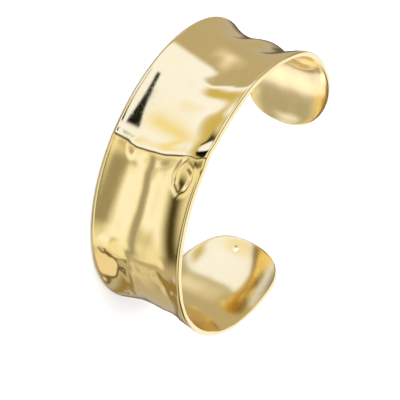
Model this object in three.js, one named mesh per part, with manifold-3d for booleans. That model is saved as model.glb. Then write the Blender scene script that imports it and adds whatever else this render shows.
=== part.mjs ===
// A cuff bracelet: one open band of polished metal, bent round an oval wrist opening.
// Its two edges flare outwards, its tips are rounded, its wall is pushed in and out by soft
// folds, and a small hole goes through the wall near the right tip.
// Millimetres. +Z is the axis of the wrist, +Y points out through the gap between the tips,
// and the band lies on its lower edge at z = 0, with the middle of its box at x = 0 and y = 0.

import * as THREE from 'three';
import * as BufferGeometryUtils from 'three/addons/utils/BufferGeometryUtils.js';
import Module from 'manifold-3d';

// The oval that the middle of the wall follows, seen from above.
const OVAL_HALF_LENGTH = 31.0;
const OVAL_BACK_DEPTH = 27.2;
const OVAL_FRONT_DEPTH = 24.8;
const OVAL_FULLNESS = 1.95; // 2 is an ellipse
const LEFT_TIP_ANGLE = THREE.MathUtils.degToRad(-158); // from the back, round the oval
const RIGHT_TIP_ANGLE = THREE.MathUtils.degToRad(147.8);

// The band.
const WIDTH = 23.4;
const THICKNESS = 1.3;
const FLARE = 1.8; // how far each edge stands out past the middle of the width
const RIM_RADIUS = THICKNESS / 2;

// Each tip's outline runs from a nose at its own height to the two edges, in two rounded corners.
const LEFT_TIP = { nose: 10.3, upperCorner: 18.8, lowerCorner: 11.6, fullness: 2.5, rise: 0 };
const RIGHT_TIP = { nose: 13.7, upperCorner: 7.7, lowerCorner: 16.8, fullness: 2.4, rise: 0.65 };
const RISE_LENGTH = 20; // the upper edge climbs by its rise over this length, before the corner

// The folds. Each follows a path of places. A place is the length along the band from the left
// tip, and the height above the lower edge. A fold moves the wall by its depth along its path,
// and fades out at its reach. A depth below 0 stands out.
const FOLDS = [
  { name: 'left tip crown', path: [[5, 12], [19, 12.5]], reach: 13, depth: -1.0 },
  { name: 'left panel dent', path: [[24, 16.6], [35, 16.3]], reach: 6.5, depth: 0.75 },
  { name: 'left panel low dent', path: [[22, 5], [33, 6.1]], reach: 7.5, depth: 0.76 },
  { name: 'left panel ridge', path: [[24, 11.4], [34, 11.6]], reach: 4.5, depth: -0.3 },
  { name: 'first ridge', path: [[56, 12], [55.6, 15], [53.4, 18.5], [50, 21.5]], reach: 6, depth: -0.3 },
  { name: 'left panel eye', path: [[47.5, 13], [50.5, 13.4]], reach: 4.5, depth: 0.1 },
  { name: 'middle panel', path: [[60, 10], [61, 14]], reach: 7, depth: 0.15 },
  { name: 'second ridge, low', path: [[71.7, 6.5], [71.8, 9], [71.2, 12]], reach: 3.2, depth: -0.32 },
  { name: 'second ridge, high', path: [[70, 14.6], [68.6, 20.5], [67, 23.4]], reach: 3.2, depth: -0.32 },
  { name: 'teardrop', path: [[72.4, 19.4], [73.8, 19.4]], reach: 3, depth: -0.12 },
  { name: 'middle channel', path: [[73, 9.8], [79, 11.4], [84, 11.2], [95, 8.6]], reach: 4.5, depth: 0.14 },
  { name: 'lower swell', path: [[75, 3.4], [88, 3.2]], reach: 5, depth: -0.06 },
  { name: 'third ridge', path: [[94.8, 4], [96.4, 8], [96.8, 12], [95.8, 17]], reach: 4, depth: -0.2 },
  { name: 'low blister', path: [[97, 3.6], [103, 2.2]], reach: 4, depth: -0.1 },
  { name: 'crumple', path: [[94.8, 6], [97, 8.8], [99, 10]], reach: 2.4, depth: 0.12 },
  { name: 'crumple line', path: [[101, 8.6], [107, 9.6], [112, 8.4], [118, 5.4]], reach: 3, depth: 0.12 },
  { name: 'high pleat', path: [[98, 16.8], [104, 20], [110, 18.8], [117, 14]], reach: 2.4, depth: 0.22 },
  { name: 'high pleat ridge', path: [[101, 22], [106, 22.6], [114, 19.6]], reach: 3, depth: -0.2 },
  { name: 'right panel', path: [[108, 13], [117, 15]], reach: 7, depth: -0.25 },
  { name: 'right tip crown', path: [[128, 11], [141, 11.8]], reach: 10, depth: -0.4 },
  { name: 'right tip dome', path: [[140, 12.2], [141.6, 12.2]], reach: 9, depth: -0.2 },
];

const HOLE = { along: 146.8, height: 11.8, diameter: 1.4, sides: 16 };
const CUTTER_LENGTH = 4 * THICKNESS;

// How finely the wall is faceted.
const CELLS_ALONG = 104;
const CELLS_ACROSS = 18;
const RIM_ANGLES = [90, 30, -30, -90].map(THREE.MathUtils.degToRad); // 90 is the outer face
const TIP_CROWDING = 0.72; // how much closer together the stations are near the tips
const SLOPE_STEP = 0.01;

const COLOUR = 0xe0b65a;

/** The oval line in the middle of the wall, from the left tip round the back to the right tip. */
class WristOval extends THREE.Curve {
  getPoint(share, target = new THREE.Vector3()) {
    const angle = THREE.MathUtils.lerp(LEFT_TIP_ANGLE, RIGHT_TIP_ANGLE, share);
    const sine = Math.sin(angle);
    const cosine = Math.cos(angle);
    const sum = Math.abs(sine) ** OVAL_FULLNESS + Math.abs(cosine) ** OVAL_FULLNESS;
    const reach = sum ** (-1 / OVAL_FULLNESS);
    const depth = cosine > 0 ? OVAL_BACK_DEPTH : OVAL_FRONT_DEPTH;
    return target.set(OVAL_HALF_LENGTH * reach * sine, -depth * reach * cosine, 0);
  }
}

const oval = new WristOval();
oval.arcLengthDivisions = 2000;
const LENGTH = oval.getLength();
const UP = new THREE.Vector3(0, 0, 1);

/** The point, the direction along the band and the outward direction at a length along it. */
function ovalFrame(along) {
  const share = THREE.MathUtils.clamp(along / LENGTH, 0, 1);
  const tangent = oval.getTangentAt(share);
  return { point: oval.getPointAt(share), tangent, outward: tangent.clone().cross(UP) };
}

/** How much of its full width a tip has at a distance from its nose, from 0 to 1. */
function tipShare(distance, corner, fullness) {
  const left = THREE.MathUtils.clamp(1 - distance / corner, 0, 1);
  return (1 - left ** fullness) ** (1 / fullness);
}

/** The heights of the wall's lower and upper edge lines at a length along the band. */
function edgeHeights(along) {
  const fromLeft = along - RIM_RADIUS;
  const fromRight = LENGTH - RIM_RADIUS - along;
  const [tip, distance] = fromLeft < fromRight ? [LEFT_TIP, fromLeft] : [RIGHT_TIP, fromRight];
  const riseEnd = tip.upperCorner + RISE_LENGTH;
  const climb = 1 - THREE.MathUtils.smootherstep(distance, tip.upperCorner, riseEnd);
  const top = WIDTH - RIM_RADIUS + tip.rise * climb;
  const upper = tipShare(distance, tip.upperCorner, tip.fullness);
  const lower = tipShare(distance, tip.lowerCorner, tip.fullness);
  return {
    lower: THREE.MathUtils.lerp(tip.nose, RIM_RADIUS, lower),
    upper: THREE.MathUtils.lerp(tip.nose, top, upper),
  };
}

/** The distance from a place on the band to a path of places. */
function pathDistance(path, along, height) {
  const place = new THREE.Vector3(along, height, 0);
  const corners = path.map(([x, y]) => new THREE.Vector3(x, y, 0));
  const nearest = new THREE.Vector3();
  const distances = corners.slice(1).map((end, i) => {
    new THREE.Line3(corners[i], end).closestPointToPoint(place, true, nearest);
    return nearest.distanceTo(place);
  });
  return Math.min(...distances);
}

/** How far the folds push the wall in at a place on the band. */
function foldDepth(along, height) {
  return FOLDS.reduce((depth, fold) => {
    const distance = pathDistance(fold.path, along, height);
    return depth + fold.depth * (1 - THREE.MathUtils.smootherstep(distance, 0, fold.reach));
  }, 0);
}

/** A point of the wall's middle surface, moved out from it by an offset. */
function wallPoint(along, height, offset = 0) {
  const { point, outward } = ovalFrame(along);
  const flare = FLARE * ((2 * height) / WIDTH - 1) ** 2;
  point.addScaledVector(outward, flare - foldDepth(along, height) + offset);
  return point.setZ(height);
}

/** The lengths along the band at which the wall has stations, crowded near the tips. */
function stationLengths() {
  const lengths = [];
  for (let i = 0; i <= CELLS_ALONG; i += 1) {
    const even = i / CELLS_ALONG;
    const eased = (1 - Math.cos(Math.PI * even)) / 2;
    const share = THREE.MathUtils.lerp(even, eased, TIP_CROWDING);
    lengths.push(THREE.MathUtils.lerp(RIM_RADIUS, LENGTH - RIM_RADIUS, share));
  }
  return lengths;
}

/** The band as a closed mesh: an outer wall, an inner wall, and a rounded rim all the way round. */
function bandGeometry() {
  const positions = [];
  const quad = (a, b, c, d) => [a, b, c, a, c, d].forEach((p) => positions.push(p.x, p.y, p.z));
  const stations = stationLengths().map((along) => {
    const { lower, upper } = edgeHeights(along);
    return { along, lower, upper };
  });
  const place = (i, j) => {
    const { along, lower, upper } = stations[i];
    return { along, height: THREE.MathUtils.lerp(lower, upper, j / CELLS_ACROSS) };
  };
  const point = (i, j, offset) => wallPoint(place(i, j).along, place(i, j).height, offset);

  for (let i = 0; i < CELLS_ALONG; i += 1) {
    for (let j = 0; j < CELLS_ACROSS; j += 1) {
      const corners = [[i, j], [i + 1, j], [i + 1, j + 1], [i, j + 1]];
      quad(...corners.map(([along, across]) => point(along, across, RIM_RADIUS)));
      quad(...corners.reverse().map(([along, across]) => point(along, across, -RIM_RADIUS)));
    }
  }

  // The rim follows the outline: along the lower edge to the right tip, and back along the upper.
  const outline = [];
  for (let i = 0; i <= CELLS_ALONG; i += 1) outline.push(place(i, 0));
  for (let i = CELLS_ALONG - 1; i > 0; i -= 1) outline.push(place(i, CELLS_ACROSS));
  const rimRows = outline.map((here, k) => {
    const before = outline.at(k - 1);
    const after = outline[(k + 1) % outline.length];
    const run = new THREE.Vector2(after.along - before.along, after.height - before.height);
    run.normalize();
    const { tangent, outward } = ovalFrame(here.along);
    const away = tangent.multiplyScalar(run.y).addScaledVector(UP, -run.x);
    const middle = wallPoint(here.along, here.height);
    return RIM_ANGLES.map((angle) => middle.clone()
      .addScaledVector(away, RIM_RADIUS * Math.cos(angle))
      .addScaledVector(outward, RIM_RADIUS * Math.sin(angle)));
  });
  rimRows.forEach((row, k) => {
    const next = rimRows[(k + 1) % rimRows.length];
    for (let a = 0; a < RIM_ANGLES.length - 1; a += 1) quad(row[a + 1], next[a + 1], next[a], row[a]);
  });

  const geometry = new THREE.BufferGeometry();
  geometry.setAttribute('position', new THREE.Float32BufferAttribute(positions, 3));
  return geometry;
}

/** The round bar that cuts the hole, square to the wall where the hole is. */
function holeCutter() {
  const step = (along, height) => wallPoint(HOLE.along + along, HOLE.height + height);
  const slopeAlong = step(SLOPE_STEP, 0).sub(step(-SLOPE_STEP, 0));
  const slopeUp = step(0, SLOPE_STEP).sub(step(0, -SLOPE_STEP));
  const square = slopeAlong.cross(slopeUp).normalize();
  const radius = HOLE.diameter / 2;
  const cutter = new THREE.CylinderGeometry(radius, radius, CUTTER_LENGTH, HOLE.sides);
  cutter.applyQuaternion(new THREE.Quaternion().setFromUnitVectors(new THREE.Vector3(0, 1, 0), square));
  const { x, y, z } = step(0, 0);
  return cutter.translate(x, y, z);
}

const wasm = await Module();
wasm.setup();

/** A closed geometry as a solid that can be cut. */
function toSolid(geometry) {
  geometry.deleteAttribute('normal');
  geometry.deleteAttribute('uv');
  const merged = dropFlatTriangles(BufferGeometryUtils.mergeVertices(geometry));
  return new wasm.Manifold(new wasm.Mesh({
    numProp: 3,
    vertProperties: new Float32Array(merged.getAttribute('position').array),
    triVerts: new Uint32Array(merged.getIndex().array),
  }));
}

/** The same geometry without the triangles that have two corners in one place, at the tips. */
function dropFlatTriangles(geometry) {
  const index = geometry.getIndex().array;
  const kept = [];
  for (let i = 0; i < index.length; i += 3) {
    const [a, b, c] = index.subarray(i, i + 3);
    if (a !== b && b !== c && c !== a) kept.push(a, b, c);
  }
  geometry.setIndex(kept);
  return geometry;
}

/** A solid's faces as a geometry. */
function toGeometry(solid) {
  const mesh = solid.getMesh();
  const geometry = new THREE.BufferGeometry();
  geometry.setAttribute('position', new THREE.BufferAttribute(mesh.vertProperties, mesh.numProp));
  geometry.setIndex(new THREE.BufferAttribute(mesh.triVerts, 1));
  return geometry;
}

/** The geometry moved so that its box stands on z = 0 with its middle at x = 0 and y = 0. */
function standOnOrigin(geometry) {
  geometry.computeBoundingBox();
  const centre = geometry.boundingBox.getCenter(new THREE.Vector3());
  return geometry.translate(-centre.x, -centre.y, -geometry.boundingBox.min.z);
}

const cuff = new THREE.Mesh(
  standOnOrigin(toGeometry(toSolid(bandGeometry()).subtract(toSolid(holeCutter())))),
  new THREE.MeshStandardMaterial({ color: COLOUR, roughness: 0.12, metalness: 1 }),
);
cuff.name = 'cuff_band';
cuff.geometry.computeVertexNormals();

const bracelet = new THREE.Group();
bracelet.add(cuff);

export default bracelet;
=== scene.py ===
"""A polished gold cuff bracelet, lying on its edge in a light tent.

The band is made as a jeweller makes one: a flat blank with rounded tips gets its thickness and
soft rims, is drilled, is pushed in and out into folds, has its edges flared, and is then bent
round an oval.  Lengths are metres; sizes are given in millimetres and multiplied by MM.
"""
import logging
import math
from contextlib import contextmanager
from dataclasses import dataclass, field
from enum import Enum
from typing import Any, Iterator

import bmesh
import bpy
import numpy as np
from mathutils import Matrix, Vector


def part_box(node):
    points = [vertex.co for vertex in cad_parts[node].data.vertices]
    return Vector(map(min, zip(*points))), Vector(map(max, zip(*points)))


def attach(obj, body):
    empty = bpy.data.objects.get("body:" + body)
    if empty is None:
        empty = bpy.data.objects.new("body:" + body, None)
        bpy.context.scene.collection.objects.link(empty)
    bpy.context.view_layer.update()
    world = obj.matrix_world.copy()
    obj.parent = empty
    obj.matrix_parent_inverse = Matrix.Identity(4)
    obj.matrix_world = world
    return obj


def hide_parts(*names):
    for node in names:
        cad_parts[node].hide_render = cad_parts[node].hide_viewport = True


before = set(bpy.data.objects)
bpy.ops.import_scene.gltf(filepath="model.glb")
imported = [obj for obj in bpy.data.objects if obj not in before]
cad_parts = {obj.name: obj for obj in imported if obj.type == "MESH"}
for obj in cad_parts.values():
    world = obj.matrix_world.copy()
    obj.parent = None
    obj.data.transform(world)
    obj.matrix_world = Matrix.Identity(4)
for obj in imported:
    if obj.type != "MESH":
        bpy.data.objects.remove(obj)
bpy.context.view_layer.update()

logging.basicConfig(level=logging.INFO, format="%(message)s")
log = logging.getLogger("cuff")

Point = tuple[float, float, float]
Colour = tuple[float, float, float]
Span = tuple[float, float]

MM = 0.001  # one millimetre, in metres
SAME_PLACE = 1e-7  # corners closer than this become one, metres
SHARP_EDGE = math.radians(60)  # edges that turn further than this are bevelled
CREASE = math.radians(40)  # edges that turn further than this are shaded as creases
LINE_STEPS = 2000  # how finely a line is measured
FINER = 8  # how many times finer the oval is drawn than it is then divided
FLAT_PLACE = "flat_place"  # the attribute that holds where a corner was on the flat blank
INNER_WALL = "inner_wall"  # the attribute that is 1 on the inner wall and 0 on the outer one


# ---------------------------------------------------------------- shared helpers

def deselect_all() -> None:
    """Leave object mode with nothing selected."""
    if bpy.context.object and bpy.context.object.mode != "OBJECT":
        bpy.ops.object.mode_set(mode="OBJECT")
    bpy.ops.object.select_all(action="DESELECT")


def make_active(piece: bpy.types.Object) -> None:
    """Select one object alone and make it the active one.

    Args:
        piece: The object to work on.
    """
    deselect_all()
    piece.select_set(True)
    bpy.context.view_layer.objects.active = piece


@contextmanager
def edit_mode(piece: bpy.types.Object) -> Iterator[bmesh.types.BMesh]:
    """Work on one object in edit mode.

    Args:
        piece: The mesh object to edit.

    Yields:
        Its edit mesh, with nothing selected.
    """
    make_active(piece)
    bpy.ops.object.mode_set(mode="EDIT")
    bpy.ops.mesh.select_all(action="DESELECT")
    yield bmesh.from_edit_mesh(piece.data)
    bpy.ops.object.mode_set(mode="OBJECT")


def apply_modifier(piece: bpy.types.Object, kind: str, **settings: Any) -> None:
    """Add a modifier to an object, set it, and apply it.

    Args:
        piece: The mesh object.
        kind: The modifier's type.
        settings: The modifier's properties by name.
    """
    make_active(piece)
    modifier = piece.modifiers.new(kind.title(), kind)
    for name, value in settings.items():
        setattr(modifier, name, value)
    bpy.ops.object.modifier_apply(modifier=modifier.name)


def line_object(name: str, points: np.ndarray, closed: bool) -> bpy.types.Object:
    """Draw a line through points as a curve object.

    Args:
        name: The object's name.
        points: One row of x, y, z for each point.
        closed: Whether the last point joins the first.

    Returns:
        The curve object, linked to the scene.
    """
    curve = bpy.data.curves.new(name, "CURVE")
    curve.dimensions = "3D"
    spline = curve.splines.new("POLY")
    spline.points.add(len(points) - 1)
    weights = np.ones((len(points), 1))
    spline.points.foreach_set("co", np.hstack([points, weights]).ravel())
    spline.use_cyclic_u = closed
    line = bpy.data.objects.new(name, curve)
    bpy.context.collection.objects.link(line)
    return line


def evenly_along(points: np.ndarray, count: int) -> np.ndarray:
    """Space points evenly by length along a line.

    Args:
        points: The line, one row for each of its points.
        count: How many steps to divide it into.

    Returns:
        count + 1 points, from the line's start to its end.
    """
    steps = np.linalg.norm(np.diff(points, axis=0), axis=1)
    lengths = np.concatenate([[0.0], np.cumsum(steps)])
    places = np.linspace(0.0, lengths[-1], count + 1)
    return np.stack([np.interp(places, lengths, column) for column in points.T], axis=1)


def smooth(value: np.ndarray, low: float, high: float) -> np.ndarray:
    """Ease from 0 at low to 1 at high, with no kink in its slope or its curve.

    Args:
        value: What is eased.
        low: Where the result is 0.
        high: Where the result is 1.

    Returns:
        The eased values.
    """
    share = np.clip((value - low) / (high - low), 0.0, 1.0)
    return share ** 3 * (10.0 - 15.0 * share + 6.0 * share * share)


# ---------------------------------------------------------------- shader graphs

MIX_FACTOR, MIX_BELOW, MIX_ABOVE, MIX_RESULT = 0, 6, 7, 2  # a colour Mix node's sockets


def opaque(colour: Colour) -> tuple[float, float, float, float]:
    """Return a colour with an alpha of 1."""
    return (*colour, 1.0)


@dataclass(frozen=True)
class Pattern:
    """A noise pattern in a finish.

    Attributes:
        scale: Its cells to a metre.
        detail: How many finer layers it has.
        rough: How much it adds to the roughness.
        raised: How much it adds to the height of the bumps.
    """

    scale: float
    detail: float
    rough: float = 0.0
    raised: float = 0.0


class Socket:
    """A shader value that Python's own operators add Math nodes to."""

    def __init__(self, graph: "Graph", link: Any) -> None:
        """Wrap an output socket, or a plain number, of a graph."""
        self.graph = graph
        self.link = link

    def _math(self, operation: str, *others: Any) -> "Socket":
        """Add a Math node on this value and others.

        Args:
            operation: The node's operation.
            others: The other inputs, as sockets or numbers.

        Returns:
            The node's result.
        """
        values = dict(enumerate((self, *others)))
        return self.graph.add("ShaderNodeMath", {"operation": operation}, values)

    def __add__(self, other: Any) -> "Socket":
        """Return self + other."""
        return self._math("ADD", other)

    def __radd__(self, other: Any) -> "Socket":
        """Return other + self."""
        return self._math("ADD", other)

    def __sub__(self, other: Any) -> "Socket":
        """Return self - other."""
        return self._math("SUBTRACT", other)

    def __rsub__(self, other: Any) -> "Socket":
        """Return other - self."""
        return Socket(self.graph, other)._math("SUBTRACT", self)

    def __mul__(self, other: Any) -> "Socket":
        """Return self * other."""
        return self._math("MULTIPLY", other)

    def __rmul__(self, other: Any) -> "Socket":
        """Return other * self."""
        return self._math("MULTIPLY", other)

    def __neg__(self) -> "Socket":
        """Return -self."""
        return self._math("MULTIPLY", -1.0)

    def bearing(self, other: "Socket") -> "Socket":
        """Return the angle of the point (other, self), in degrees."""
        return self._math("ARCTAN2", other)._math("DEGREES")


class Graph:
    """The node tree of a material or a world."""

    def __init__(self, tree: bpy.types.NodeTree) -> None:
        """Start an empty graph in a node tree."""
        self.tree = tree
        self.tree.nodes.clear()

    def add(self, kind: str, settings: dict[str, Any], values: dict[Any, Any],
            output: Any = 0) -> Socket:
        """Add a node.

        Args:
            kind: The node's type.
            settings: The node's own properties, set first.
            values: Its input sockets' values or links, by name or number.
            output: The output to return, by name or number.

        Returns:
            One of the node's outputs.
        """
        node = self.tree.nodes.new(kind)
        for name, value in settings.items():
            setattr(node, name, value)
        for key, value in values.items():
            value = value.link if isinstance(value, Socket) else value
            if isinstance(value, bpy.types.NodeSocket):
                self.tree.links.new(value, node.inputs[key])
            else:
                node.inputs[key].default_value = value
        return Socket(self, node.outputs[output] if len(node.outputs) else None)

    def ease(self, value: Socket, low: float, high: float,
             start: float = 0.0, end: float = 1.0) -> Socket:
        """Ease from start, where the value is low, to end, where it is high."""
        values = {
            "Value": value, "From Min": low, "From Max": high, "To Min": start, "To Max": end}
        return self.add("ShaderNodeMapRange", {"interpolation_type": "SMOOTHSTEP"}, values)

    def within(self, value: Socket, span: Span, blur: float) -> Socket:
        """Mark where a value is inside a span.

        Args:
            value: The value to test.
            span: The span's lower and upper ends.
            blur: How far each side of an end the mark is eased.

        Returns:
            1 inside the span and 0 outside it.
        """
        low, high = span
        rising = self.ease(value, low - blur, low + blur)
        return rising * self.ease(value, high - blur, high + blur, 1.0, 0.0)

    def noise(self, place: Socket, pattern: Pattern) -> Socket:
        """Return a pattern's noise at a place, mostly between 0.3 and 0.7."""
        values = {"Vector": place, "Scale": pattern.scale, "Detail": pattern.detail}
        return self.add("ShaderNodeTexNoise", {}, values)

    def mix(self, factor: Socket, below: Any, above: Any) -> Socket:
        """Mix two colours by a factor."""
        values = {MIX_FACTOR: factor, MIX_BELOW: below, MIX_ABOVE: above}
        return self.add("ShaderNodeMix", {"data_type": "RGBA"}, values, MIX_RESULT)


# ---------------------------------------------------------------- the band

@dataclass(frozen=True)
class Tip:
    """One tip's outline: a nose at its own height, and a rounded corner above and below it.

    Attributes:
        nose: Height of the nose above the lower edge, mm.
        upper_corner: How far from the nose the upper corner starts, mm.
        lower_corner: How far from the nose the lower corner starts, mm.
        fullness: The corners' power; 2 is an ellipse, and more is squarer.
        rise: How far the upper edge climbs towards the tip, mm.
    """

    nose: float
    upper_corner: float
    lower_corner: float
    fullness: float
    rise: float

    def share(self, distance: np.ndarray, corner: float) -> np.ndarray:
        """Return how much of the full width the tip has at a distance from its nose."""
        left = np.clip(1.0 - distance / corner, 0.0, 1.0)
        return (1.0 - left ** self.fullness) ** (1.0 / self.fullness)


@dataclass(frozen=True)
class Fold:
    """A soft line along which the wall is pushed in or out.

    Attributes:
        name: What it is.
        path: Its places, each the length along the band and the height above the edge, mm.
        reach: How far from the path it fades out, mm.
        depth: How far the wall goes in on the path, mm; below 0 it stands out.
    """

    name: str
    path: tuple[Span, ...]
    reach: float
    depth: float

    def push(self, along: np.ndarray, height: np.ndarray) -> np.ndarray:
        """Work out how far the fold moves the wall inwards.

        Args:
            along: Each place's length along the band, mm.
            height: Each place's height above the lower edge, mm.

        Returns:
            The move at each place, mm; below 0 it is outwards.
        """
        nearest = np.full(along.shape, np.inf)
        for start, end in zip(self.path, self.path[1:]):
            run = np.subtract(end, start)
            x, y = along - start[0], height - start[1]
            share = np.clip((x * run[0] + y * run[1]) / (run @ run), 0.0, 1.0)
            nearest = np.minimum(nearest, np.hypot(x - share * run[0], y - share * run[1]))
        return self.depth * (1.0 - smooth(nearest, 0.0, self.reach))


FOLDS = (
    Fold("left tip crown", ((5, 12), (19, 12.5)), 13, -1.0),
    Fold("left panel dent", ((24, 16.6), (35, 16.3)), 6.5, 0.75),
    Fold("left panel low dent", ((22, 5), (33, 6.1)), 7.5, 0.76),
    Fold("left panel ridge", ((24, 11.4), (34, 11.6)), 4.5, -0.3),
    Fold("first ridge", ((56, 12), (55.6, 15), (53.4, 18.5), (50, 21.5)), 6, -0.3),
    Fold("left panel eye", ((47.5, 13), (50.5, 13.4)), 4.5, 0.1),
    Fold("middle panel", ((60, 10), (61, 14)), 7, 0.15),
    Fold("second ridge", ((71.7, 6.5), (71.8, 9), (71.2, 12), (70, 14.6), (69, 17.4),
                          (68.6, 20.5), (67, 23.4)), 3.2, -0.32),
    Fold("second ridge foot", ((70.6, 0), (70.9, 4.5)), 1.8, -0.09),
    Fold("teardrop", ((72.4, 19.4), (73.8, 19.4)), 3.0, -0.12),
    Fold("teardrop outline", ((69.8, 19), (70.8, 20.8), (73, 21.8), (75.8, 21), (76.8, 19.2),
                              (75.4, 17.6), (73, 17), (70.6, 17.6), (69.8, 19)), 1.0, 0.09),
    Fold("middle channel", ((73, 9.8), (79, 11.4), (84, 11.2), (90, 9.4), (95, 8.6)), 4.5, 0.14),
    Fold("lower swell", ((75, 3.4), (88, 3.2)), 5, -0.06),
    Fold("third ridge", ((94.8, 4), (96.4, 8), (96.8, 12), (95.8, 17)), 4, -0.2),
    Fold("low blister", ((97, 3.6), (103, 2.2)), 4, -0.1),
    Fold("crumple", ((94.8, 6), (97, 8.8), (99, 10)), 2.4, 0.12),
    Fold("crumple line", ((101, 8.6), (107, 9.6), (112, 8.4), (118, 5.4)), 3, 0.12),
    Fold("high pleat", ((98, 16.8), (99.6, 18.8), (104, 20), (110, 18.8), (117, 14)), 2.4, 0.22),
    Fold("high pleat ridge", ((101, 22), (106, 22.6), (114, 19.6)), 3.0, -0.2),
    Fold("right panel", ((108, 13), (117, 15)), 7, -0.25),
    Fold("pock", ((110.8, 5.4), (111.4, 5.2)), 1.4, 0.12),
    Fold("right tip crown", ((128, 11), (141, 11.8)), 10, -0.4),
    Fold("right tip dome", ((140, 12.2), (141.6, 12.2)), 9, -0.2),
)


@dataclass(frozen=True)
class WristOval:
    """The oval that the middle of the wall follows, mm and degrees.

    Attributes:
        half_length: Along X.
        back_depth: From the centre to the back.
        front_depth: From the centre towards the gap.
        fullness: The oval's power; 2 is an ellipse.
        left_tip: Where the left tip is, round the oval from the back.
        right_tip: Where the right tip is.
    """

    half_length: float = 31.0
    back_depth: float = 27.2
    front_depth: float = 24.8
    fullness: float = 1.95
    left_tip: float = -158.0
    right_tip: float = 147.8

    def points(self, count: int) -> np.ndarray:
        """Return points evenly along the oval from the left tip to the right tip, mm.

        Args:
            count: How many steps to divide it into.

        Returns:
            One row of x, y, z for each point.
        """
        angle = np.radians(np.linspace(self.left_tip, self.right_tip, FINER * count))
        sine, cosine = np.sin(angle), np.cos(angle)
        sums = np.abs(sine) ** self.fullness + np.abs(cosine) ** self.fullness
        reach = sums ** (-1.0 / self.fullness)
        depth = np.where(cosine > 0, self.back_depth, self.front_depth)
        line = [self.half_length * reach * sine, -depth * reach * cosine, np.zeros_like(angle)]
        return evenly_along(np.stack(line, axis=1), count)

    def length(self) -> float:
        """Return the length of the oval line, mm."""
        steps = np.diff(self.points(LINE_STEPS), axis=0)
        return float(np.linalg.norm(steps, axis=1).sum())


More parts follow.
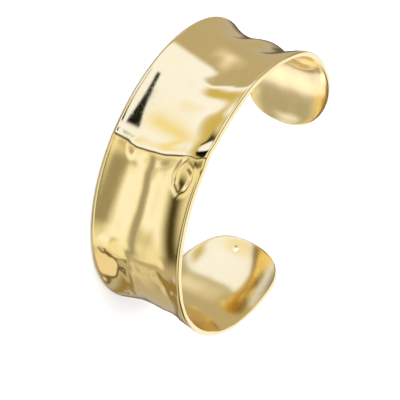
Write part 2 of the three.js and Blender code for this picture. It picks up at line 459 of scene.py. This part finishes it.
@dataclass
class CuffBand:
    """The bracelet's one piece of metal, sizes in mm.

    Attributes:
        width: Along the wrist.
        thickness: Of the wall.
        flare: How far the edges stand out past the middle of the width.
        oval: The line that the wall follows.
        left: The left tip's outline.
        right: The right tip's outline.
        rise_length: The stretch over which the upper edge climbs by a tip's rise.
        hole_place: The hole's length along the band and height above the edge.
        hole_width: The hole's diameter.
        hole_bevel: The width that is taken off the hole's sharp edges.
        hole_steps: How many steps that bevel has.
        hole_sides: How many sides the drill has.
        drill_share: The drill's length, as a multiple of the thickness.
        rim_share: The width of the rims' bevel, as a share of the thickness.
        rim_steps: How many steps the rims' bevel has.
        corner_share: How much of a rounded corner counts as the blank's short side.
        edge_points: How many points half an edge line is drawn with.
        nose_power: The power that crowds those points towards the nose.
        cells_along: How many cells the blank has along it.
        cells_across: How many cells it has across it.
        subdivisions: How many times each cell is then divided.
        former_steps: How many steps the line has that the band is bent round.
    """

    width: float = 23.4
    thickness: float = 1.3
    flare: float = 1.8
    oval: WristOval = field(default_factory=WristOval)
    left: Tip = Tip(10.3, 18.8, 11.6, 2.5, 0.0)
    right: Tip = Tip(13.7, 7.7, 16.8, 2.4, 0.65)
    rise_length: float = 20.0
    hole_place: Span = (146.8, 11.8)
    hole_width: float = 1.4
    hole_bevel: float = 0.12
    hole_steps: int = 2
    hole_sides: int = 48
    drill_share: float = 4.0
    rim_share: float = 0.4
    rim_steps: int = 3
    corner_share: float = 0.2
    edge_points: int = 1500
    nose_power: int = 3
    cells_along: int = 120
    cells_across: int = 17
    subdivisions: int = 2
    former_steps: int = 600

    def edge_line(self, distance: np.ndarray, tip: Tip, upper: bool) -> np.ndarray:
        """Return an edge line's height at distances from a tip's nose.

        Args:
            distance: From the nose, mm.
            tip: The tip that is nearer.
            upper: Whether it is the upper edge.

        Returns:
            Heights above the lower edge, mm.
        """
        if not upper:
            return tip.nose - tip.nose * tip.share(distance, tip.lower_corner)
        climb = 1.0 - smooth(distance, tip.upper_corner, tip.upper_corner + self.rise_length)
        top = self.width + tip.rise * climb
        return tip.nose + (top - tip.nose) * tip.share(distance, tip.upper_corner)

    def half_edge(self, tip: Tip, upper: bool) -> np.ndarray:
        """Return one edge line from a tip's nose to the middle of the band.

        Args:
            tip: The tip it starts from.
            upper: Whether it is the upper edge.

        Returns:
            One row of distance from the nose and height for each point, mm.
        """
        shares = np.linspace(0.0, 1.0, self.edge_points) ** self.nose_power
        distance = self.oval.length() / 2 * shares
        return np.stack([distance, self.edge_line(distance, tip, upper)], axis=1)

    def outline(self) -> np.ndarray:
        """Return the blank's outline in four runs, each evenly divided.

        Returns:
            One row of x, y, z for each corner of the blank's cells on its edge, in metres,
            anticlockwise from the lower left corner, with x along the band.
        """
        length = self.oval.length()
        tips = []
        edges = {}
        for side, tip in (("left", self.left), ("right", self.right)):
            nose_runs = []
            for upper in (False, True):
                line = self.half_edge(tip, upper)
                corner = self.corner_share * (tip.upper_corner if upper else tip.lower_corner)
                near = line[:, 0] <= corner
                if side == "right":
                    line[:, 0] = length - line[:, 0]
                nose_runs.append(line[near])
                edges[side, upper] = line[~near]
            tips.append(np.concatenate([nose_runs[0][::-1], nose_runs[1]]))
        left, right = tips
        bottom = [left[:1], edges["left", False], edges["right", False][::-1], right[:1]]
        top = [right[-1:], edges["right", True], edges["left", True][::-1], left[-1:]]
        runs = (
            (np.concatenate(bottom), self.cells_along),
            (right, self.cells_across),
            (np.concatenate(top), self.cells_along),
            (left[::-1], self.cells_across),
        )
        flat = np.concatenate([evenly_along(run, count)[:-1] for run, count in runs])
        stretch = self.flare_radius() * math.asin(self.width / 2 / self.flare_radius())
        across = (flat[:, 1] * 2 / self.width - 1) * stretch
        return MM * np.stack([flat[:, 0], np.zeros(len(flat)), across], axis=1)

    def flare_radius(self) -> float:
        """Return the radius of the arc that the flare bends the width to, mm."""
        return ((self.width / 2) ** 2 + self.flare ** 2) / (2 * self.flare)

    def cut_blank(self) -> bpy.types.Object:
        """Cut the flat blank: its outline, filled with a grid of cells.

        Returns:
            A flat mesh in the plane y = 0, with x along the band and z across it.
        """
        blank = line_object("cuff_band_gold", self.outline(), closed=True)
        make_active(blank)
        bpy.ops.object.convert(target="MESH")
        blank = bpy.context.object
        with edit_mode(blank) as mesh:
            bpy.ops.mesh.select_all(action="SELECT")
            mesh.verts.ensure_lookup_table()
            mesh.select_history.clear()
            mesh.select_history.add(mesh.verts[0])
            bpy.ops.mesh.fill_grid(span=self.cells_along, offset=0)
            bpy.ops.mesh.select_all(action="SELECT")
            bpy.ops.mesh.normals_make_consistent(inside=False)
        return blank

    def thicken(self, blank: bpy.types.Object) -> None:
        """Give the blank its thickness and soft rims, in fine cells.

        Args:
            blank: The flat blank.
        """
        apply_modifier(blank, "SOLIDIFY", thickness=MM * self.thickness, offset=0.0)
        apply_modifier(blank, "BEVEL", width=MM * self.rim_share * self.thickness,
                       segments=self.rim_steps, limit_method="ANGLE", angle_limit=SHARP_EDGE,
                       use_clamp_overlap=False)
        apply_modifier(blank, "SUBSURF", levels=self.subdivisions,
                       render_levels=self.subdivisions)

    def drill(self, blank: bpy.types.Object) -> None:
        """Drill the small hole and take the sharpness off its edges.

        Args:
            blank: The thick, flat blank.
        """
        along, height = self.hole_place
        place = (MM * along, 0.0, MM * (height - self.width / 2))
        deselect_all()
        bpy.ops.mesh.primitive_cylinder_add(
            vertices=self.hole_sides, radius=MM * self.hole_width / 2,
            depth=MM * self.drill_share * self.thickness, location=place,
            rotation=(math.pi / 2, 0.0, 0.0))
        bit = bpy.context.object
        bpy.ops.object.transform_apply(location=True, rotation=True, scale=True)
        apply_modifier(blank, "BOOLEAN", object=bit, operation="DIFFERENCE", solver="EXACT")
        bpy.data.objects.remove(bit, do_unlink=True)
        apply_modifier(blank, "BEVEL", width=MM * self.hole_bevel, segments=self.hole_steps,
                       limit_method="ANGLE", angle_limit=SHARP_EDGE, use_clamp_overlap=True)

    def push_folds(self, blank: bpy.types.Object) -> None:
        """Push the wall in and out along the folds.

        Args:
            blank: The drilled, flat blank.
        """
        count = len(blank.data.vertices)
        places = np.empty(3 * count)
        blank.data.vertices.foreach_get("co", places)
        flat = blank.data.attributes.new(FLAT_PLACE, "FLOAT_VECTOR", "POINT")
        flat.data.foreach_set("vector", places)
        inner = blank.data.attributes.new(INNER_WALL, "FLOAT", "POINT")
        inner.data.foreach_set("value", smooth(places[1::3], 0.0, MM * self.thickness / 2))
        along = places[0::3] / MM
        height = places[2::3] / MM + self.width / 2
        depth = sum(fold.push(along, height) for fold in FOLDS)
        low, high = float(depth.min()), float(depth.max())
        group = blank.vertex_groups.new(name="folds")
        for index, weight in enumerate((depth - low) / (high - low)):
            group.add([index], float(weight), "REPLACE")
        apply_modifier(blank, "DISPLACE", direction="Y", vertex_group="folds",
                       strength=MM * (high - low), mid_level=0.0)
        with edit_mode(blank):
            bpy.ops.mesh.select_all(action="SELECT")
            bpy.ops.transform.translate(value=(0.0, MM * low, 0.0))
        blank.vertex_groups.clear()

    def bend(self, blank: bpy.types.Object) -> None:
        """Flare the edges, and bend the band round the oval.

        Args:
            blank: The folded blank, which becomes the band, centred on the oval at z = 0.
        """
        heights = [vertex.co.z for vertex in blank.data.vertices]
        angle = (max(heights) - min(heights)) / (MM * self.flare_radius())
        apply_modifier(blank, "SIMPLE_DEFORM", deform_method="BEND", deform_axis="X",
                       angle=-angle)
        former = line_object("former", MM * self.oval.points(self.former_steps), closed=False)
        apply_modifier(blank, "CURVE", object=former, deform_axis="POS_X")
        bpy.data.objects.remove(former, do_unlink=True)

    def build(self) -> bpy.types.Object:
        """Make the whole band, where the CAD node has it.

        Returns:
            The finished mesh object, at the origin with its place in its mesh.
        """
        band = self.cut_blank()
        self.thicken(band)
        self.drill(band)
        self.push_folds(band)
        self.bend(band)
        centre = self.oval_centre()
        lowest = min(vertex.co.z for vertex in band.data.vertices)
        with edit_mode(band):
            bpy.ops.mesh.select_all(action="SELECT")
            bpy.ops.transform.translate(value=(centre.x, centre.y, -lowest))
            bpy.ops.mesh.remove_doubles(threshold=SAME_PLACE)
            bpy.ops.mesh.normals_make_consistent(inside=False)
        make_active(band)
        bpy.ops.object.shade_smooth_by_angle(angle=CREASE)
        return band

    def oval_centre(self) -> Vector:
        """Find the oval's centre in the shared frame, from the CAD node's box.

        Returns:
            The centre, on the floor.
        """
        low, high = (Vector(corner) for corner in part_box("cuff_band"))
        outer = self.flare + self.thickness / 2
        x = high.x - MM * (self.oval.half_length + outer)
        y = low.y + MM * (self.oval.back_depth + outer)
        return Vector((x, y, 0.0))


# ---------------------------------------------------------------- finishes

@dataclass(frozen=True)
class PolishedGold:
    """Mirror-polished gold plate with fine wear.

    Attributes:
        colour: Its reflectance.
        worn_colour: Its reflectance where it is worn.
        roughness: How blurred its reflections are on the outer wall.
        inner_roughness: How blurred they are on the inner wall.
        wear: The patches where it is worn.
        grain: The fine lines along the band.
        grain_stretch: How the grain is scaled along, through and across the band.
        scratches: The noise whose middle levels are hair-thin scratches.
        scratch_span: The noise levels that are a scratch.
        scratch_blur: How soft the scratches' sides are, in noise levels.
        ripple: The slight waviness of hand polishing.
        bump: How high a bump of height 1 stands, metres.
    """

    colour: Colour = (0.95, 0.77, 0.34)
    worn_colour: Colour = (0.93, 0.72, 0.28)
    roughness: float = 0.03
    inner_roughness: float = 0.13
    wear: Pattern = Pattern(90.0, 4.0, rough=0.04)
    grain: Pattern = Pattern(4000.0, 2.0, rough=0.02, raised=0.02)
    grain_stretch: Point = (0.06, 1.0, 1.0)
    scratches: Pattern = Pattern(420.0, 3.0, rough=0.1, raised=-0.02)
    scratch_span: Span = (0.497, 0.503)
    scratch_blur: float = 0.004
    ripple: Pattern = Pattern(160.0, 1.0, raised=0.6)
    bump: float = 0.00002

    def dress(self, piece: bpy.types.Object) -> None:
        """Give a piece this finish.

        Args:
            piece: The mesh object, with the flat place and inner wall attributes.
        """
        material = bpy.data.materials.new("polished_gold")
        material.use_nodes = True
        graph = Graph(material.node_tree)
        place = graph.add("ShaderNodeAttribute", {"attribute_name": FLAT_PLACE}, {}, "Vector")
        inner = graph.add("ShaderNodeAttribute", {"attribute_name": INNER_WALL}, {}, "Fac")
        wear = graph.noise(place, self.wear)
        drawn = graph.add("ShaderNodeMapping", {}, {"Vector": place, "Scale": self.grain_stretch})
        grain = graph.noise(drawn, self.grain)
        level = graph.noise(place, self.scratches)
        scratches = graph.within(level, self.scratch_span, self.scratch_blur)
        ripple = graph.noise(place, self.ripple)
        rough = (self.roughness + wear * self.wear.rough + scratches * self.scratches.rough
                 + grain * self.grain.rough + inner * (self.inner_roughness - self.roughness))
        height = (ripple * self.ripple.raised + grain * self.grain.raised
                  + scratches * self.scratches.raised)
        bump = graph.add("ShaderNodeBump", {}, {
            "Height": height, "Strength": 1.0, "Distance": self.bump})
        colour = graph.mix(wear, opaque(self.colour), opaque(self.worn_colour))
        surface = graph.add("ShaderNodeBsdfPrincipled", {}, {
            "Base Color": colour, "Metallic": 1.0, "Roughness": rough, "Normal": bump})
        graph.add("ShaderNodeOutputMaterial", {}, {"Surface": surface})
        piece.data.materials.clear()
        piece.data.materials.append(material)


# ---------------------------------------------------------------- the light tent

class Light(Enum):
    """The colours of the light tent's panels."""

    GREY = (0.54, 0.50, 0.48)
    CREAM = (1.04, 1.19, 2.15)
    GLOW = (0.95, 0.96, 1.25)
    BRIGHT_GOLD = (1.08, 1.15, 1.6)
    LIGHT_GOLD = (0.98, 0.96, 0.95)
    PALE_GOLD = (0.93, 0.84, 0.82)
    SEAM_GOLD = (0.97, 0.94, 0.82)
    DIM_GOLD = (0.75, 0.71, 0.68)
    ARC_GOLD = (0.66, 0.57, 0.26)
    SHADE = (0.42, 0.41, 0.44)
    UMBER = (0.32, 0.24, 0.10)
    OLIVE = (0.36, 0.34, 0.30)
    BROWN = (0.15, 0.12, 0.06)
    BLACK_GOLD = (0.07, 0.055, 0.02)
    BLACK = (0.005, 0.005, 0.005)


@dataclass(frozen=True)
class Panel:
    """A panel of the light tent, seen from the bracelet.

    Attributes:
        name: What it is.
        turn: Where it starts and ends round the bracelet, degrees from -Y towards +X.
        turn_blur: How soft those ends are, degrees.
        rise: Its lower and upper ends, as heights on a sphere of radius 1.
        rise_blur: How soft those ends are.
        light: Its colour.
        taper: The share of its height that it has where it starts.
        slant: How much higher it is where it ends.
    """

    name: str
    turn: Span
    turn_blur: float
    rise: Span
    rise_blur: float
    light: Light
    taper: float = 1.0
    slant: float = 0.0


PANELS = (
    Panel("left wall glow", (-114, -96), 9, (-0.58, -0.42), 0.08, Light.GLOW),
    Panel("softbox", (-88, -11), 3, (-1.2, 0.14), 0.03, Light.CREAM),
    Panel("softbox arc", (-64, -12), 6, (-0.85, -0.75), 0.04, Light.ARC_GOLD),
    Panel("softbox arc end", (-79, -60), 6, (-0.76, -0.57), 0.06, Light.ARC_GOLD),
    Panel("softbox seam", (-38, -24), 7, (-0.72, -0.2), 0.12, Light.SEAM_GOLD),
    Panel("softbox corner", (-44, -8), 6, (-1.2, -0.82), 0.012, Light.BLACK),
    Panel("slot", (-60, -19), 1.5, (-0.15, 0.005), 0.008, Light.BLACK, 0.25),
    Panel("side card", (-8, 76), 4, (-1.2, 0.10), 0.03, Light.LIGHT_GOLD),
    Panel("side card high", (0, 66), 9, (-0.65, -0.52), 0.05, Light.BRIGHT_GOLD),
    Panel("side card low", (0, 66), 9, (-0.31, -0.17), 0.05, Light.BRIGHT_GOLD),
    Panel("side card patch", (0, 13), 5, (-0.59, -0.50), 0.04, Light.DIM_GOLD),
    Panel("side card end", (52, 68), 6, (-0.59, -0.49), 0.05, Light.DIM_GOLD),
    Panel("side card hem", (2, 84), 10, (-0.81, -0.70), 0.05, Light.BLACK_GOLD, 1.0, 0.03),
    Panel("side card rail", (0, 82), 9, (-0.50, -0.36), 0.05, Light.SHADE),
    Panel("side card foot", (-2, 58), 9, (-0.15, -0.035), 0.03, Light.OLIVE, 1.0, -0.01),
    Panel("post", (-13, -7), 2, (-1.2, 1.2), 0.1, Light.BROWN),
    Panel("right glow", (86, 104), 6, (-0.53, -0.40), 0.04, Light.DIM_GOLD),
    Panel("right card", (78, 130), 3, (-0.27, -0.10), 0.02, Light.PALE_GOLD),
    Panel("right card rim", (76, 132), 2, (-0.293, -0.270), 0.008, Light.BROWN),
    Panel("right rail", (98, 140), 5, (-0.39, -0.335), 0.025, Light.UMBER),
    Panel("right shade", (98, 170), 6, (-1.2, -0.56), 0.03, Light.UMBER),
    Panel("right strip", (97, 130), 4, (-0.80, -0.69), 0.02, Light.CREAM),
    Panel("overhead gap", (-190, 190), 1, (0.10, 0.60), 0.04, Light.BROWN),
    Panel("overhead left", (-140, -72), 14, (0.06, 0.62), 0.12, Light.GREY),
    Panel("overhead", (-190, 190), 1, (0.60, 1.2), 0.06, Light.BRIGHT_GOLD),
    Panel("back right light", (125, 200), 8, (-0.15, 1.2), 0.06, Light.BRIGHT_GOLD),
    Panel("back left light", (-200, -155), 8, (0.0, 1.2), 0.06, Light.BRIGHT_GOLD),
    Panel("back shade", (146, 200), 12, (-0.60, -0.28), 0.06, Light.BROWN),
    Panel("back left shade", (-200, -170), 10, (-0.60, -0.28), 0.06, Light.BROWN),
)


@dataclass(frozen=True)
class Card:
    """A small glowing card beside the bracelet, which the inner wall mirrors.

    Attributes:
        name: What it is.
        middle: Its middle, from the middle of the oval on the floor, mm.
        size: Its length and its height, mm.
        tilt: How far its face is turned up from level, degrees.
        light: Its colour.
    """

    name: str
    middle: Point
    size: Span
    tilt: float
    light: Light


CARDS = (
    Card("gap card", (12.0, 21.5, 2.0), (15.0, 32.0), 0.0, Light.CREAM),
    Card("tip card", (12.0, -1.0, -3.0), (6.0, 6.0), 60.0, Light.CREAM),
)


@dataclass(frozen=True)
class Shot:
    """Where the camera stands and how it is held.

    Attributes:
        turn: Its bearing from the bracelet, degrees from -Y towards +X.
        rise: How steeply it looks down, degrees.
        roll: How far it is turned round its line of sight from having -X up, degrees.
        rightward: How far it is then moved to its right, mm.
        upward: How far it is then moved up, mm.
        distance: How far back from the middle of the bracelet it stands, mm.
        lens: Its focal length, mm.
        sensor: Its sensor's width, mm.
        near: Where its view starts, metres.
    """

    turn: float = -15.7
    rise: float = 27.03
    roll: float = -17.04
    rightward: float = -3.61
    upward: float = -5.15
    distance: float = 476.9
    lens: float = 195.291
    sensor: float = 36.0
    near: float = 0.01


@dataclass
class Studio:
    """The light tent, the floor, the lamp, the cards and the camera.

    Attributes:
        centre: The middle of the oval, on the floor, metres.
        height: The band's height, metres.
        shot: Where the camera stands.
        floor_half: Half the floor's side, metres.
        floor_colour: The floor's colour.
        floor_roughness: The floor's roughness.
        even_light: The strength of the light that falls on all but the reflections.
        lamp_place: Where the soft lamp hangs, metres.
        lamp_width: The lamp's diameter, metres.
        lamp_power: The lamp's power, watts.
        card_glow: How brightly a card glows, beside the panels of the tent.
    """

    centre: Vector
    height: float
    shot: Shot = Shot()
    floor_half: float = 1.5
    floor_colour: Colour = (0.93, 0.93, 0.93)
    floor_roughness: float = 0.5
    even_light: float = 1.15
    lamp_place: Point = (-0.25, -0.1, 0.5)
    lamp_width: float = 0.5
    lamp_power: float = 3.0
    card_glow: float = 0.6

    def tent(self) -> None:
        """Hang the light tent: panels for reflections, and an even light for the rest."""
        world = bpy.data.worlds.new("light_tent")
        bpy.context.scene.world = world
        world.use_nodes = True
        graph = Graph(world.node_tree)
        place = graph.add("ShaderNodeTexCoord", {}, {}, "Generated")
        axes = {"Vector": place}
        x, y, z = (graph.add("ShaderNodeSeparateXYZ", {}, axes, axis) for axis in range(3))
        turn = x.bearing(-y)
        colour: Any = opaque(Light.GREY.value)
        for panel in PANELS:
            mask = graph.within(turn, panel.turn, panel.turn_blur)
            middle = sum(panel.rise) / 2 + graph.ease(turn, *panel.turn, end=panel.slant)
            widening = graph.ease(turn, *panel.turn, start=1 / panel.taper, end=1.0)
            across = (z - middle) * widening + sum(panel.rise) / 2
            mask = mask * graph.within(across, panel.rise, panel.rise_blur)
            colour = graph.mix(mask, colour, opaque(panel.light.value))
        tent = graph.add("ShaderNodeBackground", {}, {"Color": colour, "Strength": 1.0})
        even = graph.add("ShaderNodeBackground", {}, {
            "Color": (1.0, 1.0, 1.0, 1.0), "Strength": self.even_light})
        glossy = graph.add("ShaderNodeLightPath", {}, {}, "Is Glossy Ray")
        both = graph.add("ShaderNodeMixShader", {}, {0: glossy, 1: even, 2: tent})
        graph.add("ShaderNodeOutputWorld", {}, {"Surface": both})

    def floor(self) -> None:
        """Lay the plain pale floor."""
        deselect_all()
        bpy.ops.mesh.primitive_plane_add(size=2 * self.floor_half)
        floor = bpy.context.object
        floor.name = "floor"
        material = bpy.data.materials.new("pale_floor")
        material.use_nodes = True
        graph = Graph(material.node_tree)
        surface = graph.add("ShaderNodeBsdfPrincipled", {}, {
            "Base Color": opaque(self.floor_colour), "Roughness": self.floor_roughness})
        graph.add("ShaderNodeOutputMaterial", {}, {"Surface": surface})
        floor.data.materials.append(material)
        floor.visible_glossy = False

    def lamp(self) -> None:
        """Hang one large soft lamp that gives the shadow its direction."""
        deselect_all()
        bpy.ops.object.light_add(type="AREA", location=self.lamp_place)
        lamp = bpy.context.object
        lamp.name = "soft_lamp"
        lamp.data.shape = "DISK"
        lamp.data.size = self.lamp_width
        lamp.data.energy = self.lamp_power
        lamp.rotation_euler = (-lamp.location).to_track_quat("-Z", "Y").to_euler()
        lamp.visible_glossy = False

    def hang(self, card: Card) -> None:
        """Hang a glowing card that faces -X, or is tilted up from that.

        Args:
            card: The card to hang.
        """
        place = self.centre + MM * Vector(card.middle)
        deselect_all()
        bpy.ops.object.light_add(type="AREA", location=place)
        lamp = bpy.context.object
        lamp.name = card.name
        length, height = (MM * side for side in card.size)
        lamp.data.shape = "RECTANGLE"
        lamp.data.size = length
        lamp.data.size_y = height
        lamp.data.color = card.light.value
        lamp.data.energy = math.pi * length * height * self.card_glow
        tilt = math.radians(card.tilt)
        facing = Vector((-math.cos(tilt), 0.0, math.sin(tilt)))
        lamp.rotation_euler = facing.to_track_quat("-Z", "Y").to_euler()
        lamp.visible_camera = False

    def camera(self) -> None:
        """Set up the camera above the floor, held on its side so that -X is up in its view."""
        shot = self.shot
        turn, rise, roll = (math.radians(angle) for angle in (shot.turn, shot.rise, shot.roll))
        back = Vector((math.sin(turn) * math.cos(rise), -math.cos(turn) * math.cos(rise),
                       math.sin(rise)))
        left = Vector((-1.0, 0.0, 0.0))
        level_up = (left - back * left.dot(back)).normalized()
        level_right = level_up.cross(back)
        up = math.cos(roll) * level_up + math.sin(roll) * level_right
        right = up.cross(back)
        aim = self.centre + Vector((0.0, 0.0, self.height / 2))
        place = aim + MM * (
            shot.rightward * right + shot.upward * up + shot.distance * back)
        data = bpy.data.cameras.new("camera")
        data.sensor_width = shot.sensor
        data.lens = shot.lens
        data.clip_start = shot.near
        camera = bpy.data.objects.new("camera", data)
        axes = Matrix((right, up, back)).transposed().to_4x4()
        camera.matrix_world = Matrix.Translation(place) @ axes
        bpy.context.collection.objects.link(camera)
        bpy.context.scene.camera = camera


def main() -> None:
    """Build the bracelet and its studio, and report each piece."""
    cuff = CuffBand()
    band = cuff.build()
    PolishedGold().dress(band)
    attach(band, "root")
    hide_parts("cuff_band")
    mesh = band.data
    log.info("%s: %d vertices, %d faces", band.name, len(mesh.vertices), len(mesh.polygons))

    studio = Studio(cuff.oval_centre(), MM * cuff.width)
    studio.camera()
    studio.floor()
    studio.tent()
    studio.lamp()
    for card in CARDS:
        studio.hang(card)
    bpy.context.scene.view_settings.view_transform = "Standard"
    log.info("studio: camera, floor, light tent, lamp and %d cards", len(CARDS))


if __name__ == "__main__":
    main()
